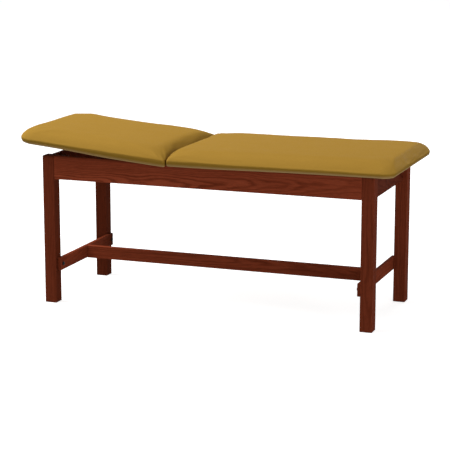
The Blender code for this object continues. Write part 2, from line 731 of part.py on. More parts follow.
def build_cushion(label, section, parent):
    board = make_part(label + "_board", cushion_board(section), PLYWOOD, parent)
    make_part(label + "_foam", cushion_foam(section), FOAM, parent, True)
    cover = make_part(label + "_cover", cushion_cover(section), VINYL, parent, True)
    apply_tool(cover, hinge_screw_holes(bmesh.new(), section.direction), 'DIFFERENCE')
    return board


def build_hinge_leaf(label, direction, first_knuckle, parent):
    """Comb-shaped leaf with every second knuckle, hanging down from the axis."""
    pitch = HINGE_LENGTH / KNUCKLES
    inner = (LEAF_OUTER - LEAF_THICKNESS) * direction
    outer = LEAF_OUTER * direction
    gap_top = -(KNUCKLE_RADIUS + RUNNING_CLEARANCE)
    edge = [(-HINGE_LENGTH / 2, -LEAF_DEPTH)]
    knuckles = bmesh.new()
    for i in range(KNUCKLES):
        low = -HINGE_LENGTH / 2 + i * pitch
        high = low + pitch
        own = i % 2 == first_knuckle
        level = -LEAF_TOOTH_TOP if own else gap_top
        inset = KNUCKLE_END_GAP if own else -KNUCKLE_END_GAP
        edge.append((max(low + inset, -HINGE_LENGTH / 2), level))
        edge.append((min(high - inset, HINGE_LENGTH / 2), level))
        if own:
            section = ring_section(KNUCKLE_END_GAP, pitch - KNUCKLE_END_GAP, PIN_RADIUS + GAP, KNUCKLE_RADIUS)
            add_turned(knuckles, Vector((0.0, low, 0.0)), ALONG_Y, section, SMALL_ROUND_STEPS)
    edge.append((HINGE_LENGTH / 2, -LEAF_DEPTH))
    shape = bmesh.new()
    face = shape.faces.new([shape.verts.new((inner, y, z)) for y, z in edge])
    grown = bmesh.ops.extrude_face_region(shape, geom=[face])
    far = [v for v in grown["geom"] if isinstance(v, bmesh.types.BMVert)]
    bmesh.ops.translate(shape, verts=far, vec=(outer - inner, 0.0, 0.0))
    leaf = make_part("hinge_leaf_" + label, shape, ZINC, parent)
    apply_tool(leaf, knuckles, 'UNION')
    apply_tool(leaf, hinge_screw_holes(bmesh.new(), direction), 'DIFFERENCE')


def build_hinge_screws(label, direction, parent):
    head_foot = LEAF_OUTER - LEAF_THICKNESS - GAP - HINGE_SCREW_HEAD_HEIGHT
    length = HINGE_SCREW_HEAD_HEIGHT + GAP + LEAF_THICKNESS + HINGE_SCREW_LENGTH
    for number, y in enumerate(hinge_screw_places(direction), 1):
        shape = bmesh.new()
        add_screw(shape, Vector((head_foot * direction, y, -HINGE_SCREW_DROP)), ALONG_X * direction,
                  (HINGE_SCREW_HEAD_RADIUS, HINGE_SCREW_HEAD_HEIGHT), HINGE_SCREW_RADIUS, length,
                  HINGE_SCREW_POINT)
        make_part("hinge_screw_" + label + "_" + str(number), shape, ZINC, parent)


def strut_plane(side):
    return (SIDE_APRON_INNER_Y - STRUT_INSET) * side


def bracket_screw_places(side):
    """Screws of a strut bracket, under the backrest board, in the backrest's flat frame."""
    x, _ = upper_pivot(0.0)
    y = strut_plane(side) - (UPPER_PLATE_OFFSET + BRACKET_THICKNESS + UPPER_FLANGE_WIDTH / 2) * side
    return [(x - BRACKET_SCREW_SPREAD / 2, y), (x + BRACKET_SCREW_SPREAD / 2, y)]


def add_shoulder_bolt(shape, foot, along, shoulder, thread):
    """Bolt with a head, a plain shoulder that the strut's eye turns on, and a thinner thread."""
    seat = SHOULDER_HEAD_HEIGHT + shoulder
    profile = [(0.0, SHOULDER_HEAD_RADIUS), (SHOULDER_HEAD_HEIGHT, SHOULDER_HEAD_RADIUS),
               (SHOULDER_HEAD_HEIGHT, SHOULDER_RADIUS), (seat, SHOULDER_RADIUS),
               (seat, SHOULDER_THREAD_RADIUS), (seat + thread, SHOULDER_THREAD_RADIUS)]
    return add_turned(shape, foot, along, profile, ROUND_STEPS)


def eye_reach():
    """From the strut's plane to the near face of a shoulder bolt's head."""
    return EYE_WIDTH / 2 + SHOULDER_PLAY


def build_lower_bolts(root):
    x, z = lower_pivot()
    for side_name, side in SIDES:
        shape = bmesh.new()
        y = strut_plane(side) - (eye_reach() + SHOULDER_HEAD_HEIGHT) * side
        add_shoulder_bolt(shape, Vector((HINGE_X + x, y, AXIS_HEIGHT + z)), ALONG_Y * side,
                          eye_reach() + STRUT_INSET - GAP, SHOULDER_THREAD_LENGTH + GAP)
        make_part("strut_lower_bolt_" + side_name, shape, ZINC, root, True)


def build_upper_brackets(pivot, board):
    board_holes = hinge_screw_holes(bmesh.new(), -1)
    under = -BOARD_THICKNESS - GAP
    x, z = upper_pivot(0.0)
    length = BRACKET_SCREW_HEAD_HEIGHT + GAP + BRACKET_THICKNESS + GAP + BRACKET_SCREW_BITE
    hole = BRACKET_SCREW_RADIUS + GAP
    for side_name, side in SIDES:
        web = strut_plane(side) - UPPER_PLATE_OFFSET * side
        web_back = web - BRACKET_THICKNESS * side
        flange_edge = web_back - UPPER_FLANGE_WIDTH * side
        foot_height = z - UPPER_PLATE_DROP
        flange_foot = under - BRACKET_THICKNESS
        section = [(web, foot_height), (web, under), (flange_edge, under), (flange_edge, flange_foot),
                   (web_back, flange_foot), (web_back, foot_height)]
        shape = bmesh.new()
        face = shape.faces.new([shape.verts.new((x - UPPER_PLATE_LENGTH / 2, py, pz)) for py, pz in section])
        grown = bmesh.ops.extrude_face_region(shape, geom=[face])
        far = [v for v in grown["geom"] if isinstance(v, bmesh.types.BMVert)]
        bmesh.ops.translate(shape, verts=far, vec=(UPPER_PLATE_LENGTH, 0.0, 0.0))
        bracket = make_part("strut_bracket_" + side_name, shape, BLACK_STEEL, pivot)
        holes = bmesh.new()
        start = Vector((x, web_back - BRACKET_THICKNESS * side, z))
        add_thread_hole(holes, start, ALONG_Y * side, 3.0 * BRACKET_THICKNESS)
        for number, (screw_x, y) in enumerate(bracket_screw_places(side), 1):
            add_hole(holes, Vector((screw_x, y, under - 2.0 * BRACKET_THICKNESS)), ALONG_Z, hole,
                     3.0 * BRACKET_THICKNESS)
            add_hole(board_holes, Vector((screw_x, y, flange_foot)), ALONG_Z, hole,
                     BRACKET_THICKNESS + GAP + BRACKET_SCREW_BITE + GAP)
            shape = bmesh.new()
            add_screw(shape, Vector((screw_x, y, flange_foot - GAP - BRACKET_SCREW_HEAD_HEIGHT)), ALONG_Z,
                      (BRACKET_SCREW_HEAD_RADIUS, BRACKET_SCREW_HEAD_HEIGHT), BRACKET_SCREW_RADIUS, length,
                      BRACKET_SCREW_POINT)
            make_part("bracket_screw_" + side_name + "_" + str(number), shape, ZINC, pivot)
        apply_tool(bracket, holes, 'DIFFERENCE')
        shape = bmesh.new()
        foot = Vector((x, strut_plane(side) + (eye_reach() + SHOULDER_HEAD_HEIGHT) * side, z))
        add_shoulder_bolt(shape, foot, ALONG_Y * -side, eye_reach() + UPPER_PLATE_OFFSET - GAP,
                          BRACKET_THICKNESS + GAP)
        make_part("strut_upper_bolt_" + side_name, shape, ZINC, pivot, True)
    apply_tool(board, board_holes, 'DIFFERENCE')


def add_eye(shape):
    section = ring_section(0.0, EYE_WIDTH, SHOULDER_RADIUS + RUNNING_CLEARANCE, EYE_RADIUS)
    return add_turned(shape, Vector((0.0, -EYE_WIDTH / 2, 0.0)), ALONG_Y, section, ROUND_STEPS)


def build_struts():
    """Tube on the frame's bolt, rod on the backrest's bolt, drawn at the rest angle on one line."""
    low_x, low_z = lower_pivot()
    high_x, high_z = upper_pivot(REST_ANGLE)
    lean = math.atan2(low_z - high_z, high_x - low_x)
    bore = TUBE_RADIUS - TUBE_WALL
    piston_far = strut_length(LIFT_MAX) - (TUBE_END - GUIDE_LENGTH - PISTON_STOP) + PISTON_LENGTH
    piston_near = piston_far - PISTON_LENGTH
    hinge_x = CENTRE_SHIFT + HINGE_X
    middle = Vector((0.0, 0.0, 0.0))
    for side_name, side in SIDES:
        y = strut_plane(side)
        low_place = (hinge_x + low_x, y, AXIS_HEIGHT + low_z)
        low = make_empty("strut_lower_pivot_" + side_name, low_place, lean)
        high_place = (hinge_x + high_x, y, AXIS_HEIGHT + high_z)
        high = make_empty("strut_upper_pivot_" + side_name, high_place, lean)
        tube = make_part("strut_tube_" + side_name, add_eye(bmesh.new()), BLACK_STEEL, low, True)
        cup = bmesh.new()
        add_turned(cup, middle, ALONG_X,
                   [(TUBE_START, TUBE_RADIUS / 2), (TUBE_FLOOR - TUBE_WALL, TUBE_RADIUS),
                    (TUBE_END, TUBE_RADIUS), (TUBE_END, bore), (TUBE_FLOOR, bore)], ROUND_STEPS)
        apply_tool(tube, cup, 'UNION')
        guide = bmesh.new()
        section = ring_section(TUBE_END - GUIDE_LENGTH, TUBE_END, ROD_RADIUS + RUNNING_CLEARANCE, bore - GAP)
        add_turned(guide, middle, ALONG_X, section, ROUND_STEPS)
        make_part("strut_guide_" + side_name, guide, NYLON, low, True)
        rod = make_part("strut_rod_" + side_name, add_eye(bmesh.new()), CHROME, high, True)
        shaft = bmesh.new()
        piston = bore - RUNNING_CLEARANCE
        add_turned(shaft, middle, ALONG_X * -1.0,
                   [(ROD_START, ROD_RADIUS), (piston_near, ROD_RADIUS), (piston_near, piston),
                    (piston_far, piston)], ROUND_STEPS)
        apply_tool(rod, shaft, 'UNION')


def build_hinge_pin(root):
    shape = bmesh.new()
    add_turned(shape, Vector((HINGE_X, -HINGE_LENGTH / 2, AXIS_HEIGHT)), ALONG_Y,
               [(0.0, PIN_RADIUS), (HINGE_LENGTH, PIN_RADIUS)], SMALL_ROUND_STEPS)
    make_part("hinge_pin", shape, ZINC, root, True)


def build_table():
    clear_scene()
    root = make_empty("table_middle", (CENTRE_SHIFT, 0.0, 0.0))
    hinge_line = make_empty("hinge_line", (CENTRE_SHIFT + HINGE_X, 0.0, AXIS_HEIGHT))
    backrest = make_empty("backrest_pivot", (CENTRE_SHIFT + HINGE_X, 0.0, AXIS_HEIGHT), REST_ANGLE)
    build_legs(root)
    build_aprons(root)
    build_stretchers(root)
    build_corner_blocks(root)
    build_rails(root)
    body_board = build_cushion("body", BODY, hinge_line)
    body_holes = hinge_screw_holes(bmesh.new(), 1)
    for _, x in rail_places():
        for y in board_screw_rows():
            add_hole(body_holes, Vector((x - HINGE_X, y, -2.0 * BOARD_THICKNESS)), ALONG_Z,
                     BOARD_SCREW_RADIUS + GAP, BOARD_THICKNESS + BOARD_SCREW_BITE + GAP)
    apply_tool(body_board, body_holes, 'DIFFERENCE')
    backrest_board = build_cushion("backrest", BACKREST, backrest)
    build_hinge_leaf("body", 1, 0, hinge_line)
    build_hinge_leaf("backrest", -1, 1, backrest)
    build_hinge_pin(root)
    build_hinge_screws("body", 1, hinge_line)
    build_hinge_screws("backrest", -1, backrest)
    build_lower_bolts(root)
    build_upper_brackets(backrest, backrest_board)
    build_struts()


build_table()
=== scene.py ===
import json
import math

import bmesh
import bpy
from mathutils import Matrix, Vector


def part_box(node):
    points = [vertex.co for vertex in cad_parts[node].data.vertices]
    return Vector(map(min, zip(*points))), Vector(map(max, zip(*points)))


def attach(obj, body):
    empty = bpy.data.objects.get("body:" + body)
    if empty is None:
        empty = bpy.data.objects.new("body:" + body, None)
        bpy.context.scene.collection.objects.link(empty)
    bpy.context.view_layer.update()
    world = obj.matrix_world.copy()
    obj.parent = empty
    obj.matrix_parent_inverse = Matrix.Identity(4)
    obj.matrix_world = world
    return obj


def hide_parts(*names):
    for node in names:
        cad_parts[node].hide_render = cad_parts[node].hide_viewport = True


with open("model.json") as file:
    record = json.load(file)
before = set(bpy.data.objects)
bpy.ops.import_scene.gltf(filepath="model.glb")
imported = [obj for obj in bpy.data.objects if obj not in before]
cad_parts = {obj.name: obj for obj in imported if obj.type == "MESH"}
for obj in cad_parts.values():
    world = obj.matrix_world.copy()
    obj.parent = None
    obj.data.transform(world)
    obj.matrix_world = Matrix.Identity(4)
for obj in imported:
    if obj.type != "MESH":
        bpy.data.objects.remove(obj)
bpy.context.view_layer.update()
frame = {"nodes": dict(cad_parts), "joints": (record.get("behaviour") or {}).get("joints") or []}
nodes = frame["nodes"]
pivots = {joint["name"]: Vector(joint["pos_m"]) for joint in frame["joints"]}
hingeLine = pivots["backrest_tilt"]
print("frame loaded,", len(nodes), "solids")


class Wire:
    def __init__(self, tree, socket=None):
        self.tree = tree
        self.socket = socket

    def node(self, kind, settings=None, inputs=None, out=0):
        made = self.tree.nodes.new(kind)
        for key, value in (settings or {}).items():
            if key == "stops":  # a ramp's places and colours
                ramp = made.color_ramp.elements
                while len(ramp) < len(value):
                    ramp.new(0.5)
                for stop, (place, colour) in zip(ramp, value):
                    stop.position = place
                    stop.color = colour
            else:
                setattr(made, key, value)
        for key, value in (inputs or {}).items():
            if isinstance(value, Wire):
                self.tree.links.new(value.socket, made.inputs[key])
            else:
                made.inputs[key].default_value = value
        return Wire(self.tree, made.outputs[out])

    def maths(self, operation, *others, first=None):
        values = (self, *others) if first is None else (first, self)
        return self.node("ShaderNodeMath", {"operation": operation}, dict(enumerate(values)))

    def __add__(self, other):
        return self.maths("ADD", other)

    def __sub__(self, other):
        return self.maths("SUBTRACT", other)

    def __mul__(self, other):
        return self.maths("MULTIPLY", other)

    def __truediv__(self, other):
        return self.maths("DIVIDE", other)

    def __rsub__(self, other):
        return self.maths("SUBTRACT", first=other)

    def __rtruediv__(self, other):
        return self.maths("DIVIDE", first=other)

    __radd__ = __add__
    __rmul__ = __mul__

    def ramp(self, stops):
        return self.node("ShaderNodeValToRGB", {"stops": stops}, {0: self})

    def blend(self, first, second):  # colours, this wire is the share of the second
        return self.node("ShaderNodeMix", {"data_type": "RGBA"}, {0: self, 6: first, 7: second}, 2)

    def clamped(self):
        return self.node("ShaderNodeClamp", inputs={0: self})

    def place(self, kind="Object"):
        return self.node("ShaderNodeTexCoord", out=kind)

    def parts(self):
        return [self.node("ShaderNodeSeparateXYZ", inputs={0: self}, out=i) for i in range(3)]

    def speckle(self, where, scale, detail, rough=0.5):
        inputs = {"Vector": where, "Scale": scale, "Detail": detail, "Roughness": rough}
        return self.node("ShaderNodeTexNoise", inputs=inputs)

    def along(self, x, y, z):
        return self.node("ShaderNodeCombineXYZ", inputs={0: x, 1: y, 2: z})

    def bump(self, height, strength, depth):
        return self.node("ShaderNodeBump", inputs={"Strength": strength, "Distance": depth, "Height": height})


grey = lambda level: (level, level, level, 1.0)
greys = lambda stops: [(place, grey(level)) for place, level in stops]


def finishOf(name, wiring, fixed):
    material = bpy.data.materials.new(name)
    material.use_nodes = True
    shader = material.node_tree.nodes["Principled BSDF"]
    for socket, value in fixed.items():
        shader.inputs[socket].default_value = value
    for socket, wire in wiring(Wire(material.node_tree)).items():
        material.node_tree.links.new(wire.socket, shader.inputs[socket])
    return material


redStain = {
    "dark": (0.100, 0.0165, 0.0062), "middle": (0.205, 0.0390, 0.0158), "light": (0.300, 0.0620, 0.0270),
    "ringWidth": 0.0042, "swirl": 0.020,
    "ringShare": 0.34, "streakShare": 0.34, "fineShare": 0.16, "blotchShare": 0.16,
    "poreDepth": 0.42, "edgeWear": 0.22, "topLight": 0.3, "roughness": 0.46, "shine": 0.001}
plainStain = {  # straighter grain, for the legs and stretchers
    **redStain, "swirl": 0.006,
    "ringShare": 0.20, "streakShare": 0.42, "fineShare": 0.20, "blotchShare": 0.18}
bareBirch = {
    "dark": (0.420, 0.270, 0.140), "middle": (0.540, 0.375, 0.215), "light": (0.640, 0.470, 0.290),
    "ringWidth": 0.0120, "swirl": 0.010,
    "ringShare": 0.30, "streakShare": 0.30, "fineShare": 0.14, "blotchShare": 0.26,
    "poreDepth": 0.18, "edgeWear": 0.15, "topLight": 0.0, "roughness": 0.62, "shine": 0.010}
grainShape = {
    # noises: scale along the board and across it, the seed's share in each, detail, roughness
    "wander": (1.9, 4.0, 1, 0, 3.0, 0.5), "ripple": (7.0, 46.0, 1, 0, 3.0, 0.5),
    "streak": (3.2, 150.0, 0, 1, 4.0, 0.6), "fine": (9.0, 520.0, 1, 0, 2.0, 0.5),
    "blotch": (2.2, 11.0, 2, 0, 2.0, 0.5), "pores": (30.0, 760.0, 0, 1, 1.0, 0.5),
    "wanderReach": 0.034, "rippleReach": 0.0060, "swirlAlong": 3.4, "swirlAcross": 2.0, "firstRing": 0.4,
    # how unevenly the rings lie, and which of them are bold
    "unevenScale": 0.31, "unevenReach": 2.4, "boldScale": 0.23, "boldFrom": 0.30, "boldGain": 2.6,
    "ringStops": ((0.0, 0.05), (0.14, 0.22), (0.34, 0.80), (0.74, 0.98), (1.0, 0.05)), "ringLevel": 0.62,
    "poreStops": ((0.58, 0.0), (0.68, 1.0)),
    "contrast": 1.5, "toneStops": ((0.14, "dark"), (0.52, "middle"), (0.92, "light")),
    "poreTint": 0.6, "wornTint": 1.2, "topTint": 1.5, "shadeTint": 0.35, "insideShare": 0.8,
    "wearGain": 3.4, "wearLeast": 0.25, "streakDull": 0.16, "poreDull": 0.18,
    "ringHeight": 0.25, "poreHeight": 0.9, "streakHeight": 0.3, "bump": 0.28, "bumpDepth": 0.0004}


def wood(name, look, depth, grain, middle, heart, lean, taper, seed, inside, shades):
    # grain orders the axes along, across and into the board; heart is the pith's place across and into it,
    # lean is how far the pith drifts across the board along its run, taper how fast the rings widen,
    # inside points to a face darkened with painted shade, shades are stretches darkened with painted shade
    shape = grainShape

    def tint(key, more=1.0):
        return (*[value * depth * more for value in look[key]], 1.0)

    def wiring(start):
        place = start.place().parts()
        run, across, into = [place[axis] - middle[axis] for axis in grain]

        def noise(key):
            long, wide, seedAlong, seedAcross, detail, rough = shape[key]
            where = (run * long + seed * seedAlong, across * wide + seed * seedAcross, into * wide)
            return start.speckle(start.along(*where), 1.0, detail, rough)

        across0 = across - heart[0] - run * lean + (noise("wander") - 0.5) * shape["wanderReach"]
        into0 = into - heart[1]
        radius = (across0 * across0 + into0 * into0).maths("SQRT")
        ripple = (noise("ripple") - 0.5) * shape["rippleReach"]
        swirl = start.along(run * shape["swirlAlong"] + seed, across * shape["swirlAcross"], seed)
        swirl = (start.speckle(swirl, 1.0, 1.0) - 0.5) * look["swirl"]
        rings = (radius + run * taper + ripple + swirl + shape["firstRing"]) / look["ringWidth"]
        uneven = start.speckle(start.along(rings * shape["unevenScale"], seed, 0.5), 1.0, 2.0)
        rings = rings + (uneven - 0.5) * shape["unevenReach"]
        bold = start.speckle(start.along(rings * shape["boldScale"], 0.5, seed), 1.0, 1.0)
        bold = ((bold - shape["boldFrom"]) * shape["boldGain"]).clamped()
        ring = rings.maths("FRACT").ramp(greys(shape["ringStops"]))
        ring = (ring - shape["ringLevel"]) * bold + shape["ringLevel"]
        streak, fine, blotch = noise("streak"), noise("fine"), noise("blotch")
        pores = noise("pores").ramp(greys(shape["poreStops"]))
        tone = ring * look["ringShare"] + streak * look["streakShare"]
        tone = tone + fine * look["fineShare"] + blotch * look["blotchShare"]
        tone = (tone - 0.5) * shape["contrast"] + 0.5
        colour = tone.ramp([(level, tint(key)) for level, key in shape["toneStops"]])
        colour = (pores * look["poreDepth"]).blend(colour, tint("dark", shape["poreTint"]))
        normal = start.place("Normal")
        facing = normal.parts()
        sides = [part.maths("ABSOLUTE") for part in facing]
        flat = sides[0].maths("MAXIMUM", sides[1]).maths("MAXIMUM", sides[2])
        worn = ((1 - flat) * shape["wearGain"] * (streak + shape["wearLeast"])).clamped() * look["edgeWear"]
        colour = worn.blend(colour, tint("light", shape["wornTint"]))
        raised = (facing[2] * 2 - 1).clamped()  # painted light makes the top faces paler
        colour = (raised * look["topLight"]).blend(colour, tint("light", shape["topTint"]))
        # painted shade along each given stretch
        for axis, begins, over, share in shades:
            hidden = ((place[axis] - begins) / over).clamped()
            colour = (hidden * share).blend(colour, tint("dark", shape["shadeTint"]))
        # painted shade on the face that inside points to
        product = {"operation": "DOT_PRODUCT"}
        inner = start.node("ShaderNodeVectorMath", product, {0: normal, 1: inside}, "Value").clamped()
        colour = (inner * shape["insideShare"]).blend(colour, tint("dark", shape["shadeTint"]))
        dull = look["roughness"] + (streak - 0.5) * shape["streakDull"] + pores * shape["poreDull"]
        height = ring * shape["ringHeight"] - pores * shape["poreHeight"] + streak * shape["streakHeight"]
        relief = start.bump(height, shape["bump"], shape["bumpDepth"])
        return {"Base Color": colour, "Roughness": dull, "Normal": relief}

    return finishOf(name, wiring, {"Specular IOR Level": look["shine"]})


def boardMiddle(node):
    low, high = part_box(node)
    return (low + high) / 2


def dress(node, material):
    piece = nodes[node]
    piece.data.materials.clear()
    piece.data.materials.append(material)


upright, lengthways, crossways = (2, 0, 1), (0, 2, 1), (1, 2, 0)
flatLengthways, flatCrossways = (0, 1, 2), (1, 0, 2)
timber = {
    # node: look, depth of stain (on the head's rear leg and the foot's end apron it also holds painted shade),
    # grain order, pith place, lean, taper, seed
    "leg_head_front": (plainStain, 0.60, upright, (0.045, 0.090), 0.02, 0.008, 3.1),
    # the head's rear leg is darkened further with painted shade
    "leg_head_rear": (plainStain, 0.39, upright, (-0.050, 0.080), -0.02, -0.007, 8.4),
    "leg_foot_front": (plainStain, 0.62, upright, (0.030, 0.100), 0.03, -0.009, 14.7),
    "leg_foot_rear": (plainStain, 0.70, upright, (-0.040, 0.095), -0.01, 0.008, 21.2),
    "side_apron_front": (redStain, 0.95, lengthways, (-0.030, 0.085), 0.055, 0.022, 27.9),
    "side_apron_rear": (redStain, 0.95, lengthways, (0.020, -0.080), -0.050, 0.020, 33.3),
    "end_apron_head": (redStain, 0.85, crossways, (0.020, 0.075), 0.060, 0.040, 39.8),
    # the foot's end apron is darkened further with painted shade
    "end_apron_foot": (redStain, 0.43, crossways, (-0.015, -0.080), -0.060, -0.040, 44.1),
    "end_stretcher_head": (plainStain, 0.80, crossways, (0.030, 0.070), 0.040, 0.024, 52.6),
    "end_stretcher_foot": (plainStain, 0.84, crossways, (-0.025, -0.075), -0.040, -0.026, 58.5),
    "long_stretcher": (plainStain, 0.88, lengthways, (0.020, 0.070), -0.050, 0.022, 63.0),
    "cross_rail_hinge": (bareBirch, 0.80, flatCrossways, (0.015, 0.100), 0.02, 0.030, 71.7),
    "cross_rail_foot": (bareBirch, 0.80, flatCrossways, (-0.020, 0.110), -0.02, -0.030, 77.4),
    "body_board": (bareBirch, 0.85, flatLengthways, (0.050, 0.500), 0.03, 0.040, 83.2),
    "backrest_board": (bareBirch, 0.85, flatLengthways, (-0.060, 0.480), -0.03, -0.050, 90.6),
    "corner_block_head_front": (redStain, 0.30, upright, (0.060, 0.090), 0.02, 0.020, 95.3),
    "corner_block_head_rear": (redStain, 0.30, upright, (-0.050, 0.080), -0.02, 0.020, 99.8),
    "corner_block_foot_front": (redStain, 0.30, upright, (0.070, -0.070), 0.02, 0.020, 103.4),
    "corner_block_foot_rear": (redStain, 0.30, upright, (-0.060, 0.085), -0.02, 0.020, 108.9)}
# faces darkened with painted shade: the aprons' inner faces and the head legs' inward faces
insides = {"side_apron_front": (0, 1, 0), "side_apron_rear": (0, -1, 0), "end_apron_head": (1, 0, 0),
           "end_apron_foot": (-1, 0, 0), "leg_head_front": (0.42, 0, 0), "leg_head_rear": (0.25, 0, 0)}
underLip = (2, 0.6915, 0.0150, 0.6)  # painted shadow under the cushion's lip: axis, where the dark begins, over what length, how much
# painted shade darkening the head stretcher towards its far end
farEnd = (1, 0.100, 0.200, 0.85)
for node, (look, depth, grain, heart, lean, taper, seed) in timber.items():
    shades = [] if look is bareBirch else [underLip, farEnd] if node == "end_stretcher_head" else [underLip]
    inside = insides.get(node, (0, 0, 0))
    middle = boardMiddle(node)
    dress(node, wood(node + "_grain", look, depth, grain, middle, heart, lean, taper, seed, inside, shades))
print("timber dressed,", len(timber), "boards")


plating = {"colour": (0.56, 0.56, 0.57), "shade": 0.72, "scale": 260.0, "roughness": 0.34, "shine": 0.5}
blackPaint = {
    "colour": (0.0060, 0.0050, 0.0045), "shade": 1.7, "scale": 420.0, "roughness": 0.44, "shine": 0.06}
polish = {"colour": (0.76, 0.76, 0.77), "shade": 0.86, "scale": 90.0, "roughness": 0.10, "shine": 0.5}
blackNylon = {"colour": (0.05, 0.05, 0.055), "shade": 0.70, "scale": 300.0, "roughness": 0.55, "shine": 0.4}
hardShape = {
    "cloudDetail": 3.0, "cloudShare": 0.6, "cloudDull": 0.18,
    "smearScale": 0.12, "smearDetail": 2.0, "smearShare": 0.4, "smearDull": 0.12,
    "bump": 0.12, "bumpDepth": 0.0002}


def hardSurface(name, look, metallic):
    shape = hardShape

    def wiring(start):
        place = start.place()
        cloud = start.speckle(place, look["scale"], shape["cloudDetail"])
        smear = start.speckle(place, look["scale"] * shape["smearScale"], shape["smearDetail"])
        shade = tuple(value * look["shade"] for value in look["colour"])
        patchy = cloud * shape["cloudShare"] + smear * shape["smearShare"]
        colour = patchy.blend((*look["colour"], 1.0), (*shade, 1.0))
        dull = look["roughness"] + (cloud - 0.5) * shape["cloudDull"] + (smear - 0.5) * shape["smearDull"]
        relief = start.bump(cloud, shape["bump"], shape["bumpDepth"])
        return {"Base Color": colour, "Roughness": dull, "Normal": relief}

    return finishOf(name, wiring, {"Metallic": metallic, "Specular IOR Level": look["shine"]})


zinc = hardSurface("zinc_plate", plating, 1.0)
black = hardSurface("black_paint", blackPaint, 0.0)
chrome = hardSurface("polished_rod", polish, 1.0)
nylon = hardSurface("black_nylon", blackNylon, 0.0)
hardware = {  # how a node's name begins, and what it is made of
    "strut_bracket": black, "strut_tube": black, "strut_guide": nylon, "strut_rod": chrome, "hinge_": zinc,
    "board_screw": zinc, "bracket_screw": zinc, "strut_lower": zinc, "strut_upper": zinc}
for node in nodes:
    for begins, metal in hardware.items():
        if node.startswith(begins):
            dress(node, metal)
print("hardware dressed")


sharpAngle = math.radians(35.0)  # edges that turn more than this stay crisp


def added(name, data):
    holder = bpy.data.objects.new(name, data)
    bpy.context.scene.collection.objects.link(holder)
    return holder


def meshOf(name, shape):
    mesh = bpy.data.meshes.new(name)
    shape.to_mesh(mesh)
    shape.free()
    return mesh


def newPiece(name, shape, material, slot, body, *stands):
    bmesh.ops.recalc_face_normals(shape, faces=shape.faces)
    mesh = meshOf(name, shape)
    mesh.shade_smooth()
    mesh.set_sharp_from_angle(angle=sharpAngle)
    mesh.materials.append(material)
    piece = added(name, mesh)
    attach(piece, body)
    if stands:
        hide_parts(*stands)


def skin(shape, loops):  # faces from each loop of points to the next
    count = len(loops[0])
    for lower, upper in zip(loops, loops[1:]):
        for i in range(count):
            j = (i + 1) % count
            shape.faces.new((lower[i], lower[j], upper[j], upper[i]))


def capped(shape, loops):
    skin(shape, loops)
    shape.faces.new(loops[0])
    shape.faces.new(loops[-1])


boltShape = {
    "segments": 36, "shank": 0.0040, "point": 0.0040, "head": 0.0090, "headHeight": 0.0045, "socket": 0.0042,
    "tip": 0.0006, "pointWidth": 0.9, "pointRun": 1.6, "seat": 0.95,
    "roundEdge": 0.0006, "washerEdge": 0.0003,
    # shares of the radius and of the head's height, number of flats
    "roundHead": ((1.0, 0.62, 0), (0.93, 0.90, 0), (0.80, 1.0, 0)),
    "hexSocket": ((1.12, 1.0, 6), (1.0, 0.90, 6), (0.98, 0.42, 6)),
    "hexHead": ((1.0, 0.20, 0), (0.97, 0.22, 6), (0.97, 0.80, 6), (0.84, 1.0, 0), (0.30, 1.0, 0))}


def turned(profile, place):
    # rows of radius, height and number of flats, which is 0 for a round
    count = boltShape["segments"]
    shape = bmesh.new()
    loops = []
    for radius, height, flats in profile:
        loops.append([])
        for i in range(count):
            angle = 2 * math.pi * i / count
            half = math.pi / flats if flats else 0.0
            reach = radius * math.cos(half) / math.cos(angle % (2 * half) - half) if flats else radius
            spot = Vector((reach * math.cos(angle), reach * math.sin(angle), height))
            loops[-1].append(shape.verts.new(place @ spot))
    capped(shape, loops)
    return shape


def boltProfile(length, socketed):
    size = boltShape
    shank, point, head = size["shank"], size["point"], size["head"]

    def scaled(key, radius):
        return [(radius * wide, size["headHeight"] * high, flats) for wide, high, flats in size[key]]

    rows = [(size["tip"], -length, 0), (shank * size["pointWidth"], point - length, 0),
            (shank, point * size["pointRun"] - length, 0), (shank, 0.0, 0), (head * size["seat"], 0.0, 0)]
    if socketed:  # low round head with a hexagon socket
        rows.append((head, size["roundEdge"], 0))
        return rows + scaled("roundHead", head) + scaled("hexSocket", size["socket"])
    rows.append((head, size["washerEdge"], 0))  # washer face under a hexagon head with a turned top
    return rows + scaled("hexHead", head)


for end, inward in (("head", 1), ("foot", -1)):
    for side, across in (("front", 1), ("rear", -1)):
        ways = {"stretcher": Vector((inward, 0, 0)), "corner": Vector((inward, across, 0)).normalized()}
        for kind, out in ways.items():
            node = f"{kind}_lag_bolt_{end}_{side}"
            reach = [out.dot(v.co) for v in nodes[node].data.vertices]
            middle = boardMiddle(node)
            under = max(reach) - boltShape["headHeight"]  # where the head sits
            seat = middle + out * (under - out.dot(middle))
            place = Matrix.Translation(seat) @ out.to_track_quat("Z", "Y").to_matrix().to_4x4()
            shape = turned(boltProfile(under - min(reach), kind == "stretcher"), place)
            metal, slot = (black, "black_steel") if kind == "stretcher" else (zinc, "zinc_steel")
            newPiece(f"{kind}_bolt_{end}_{side}", shape, metal, slot, "frame", node)
print("bolts turned")


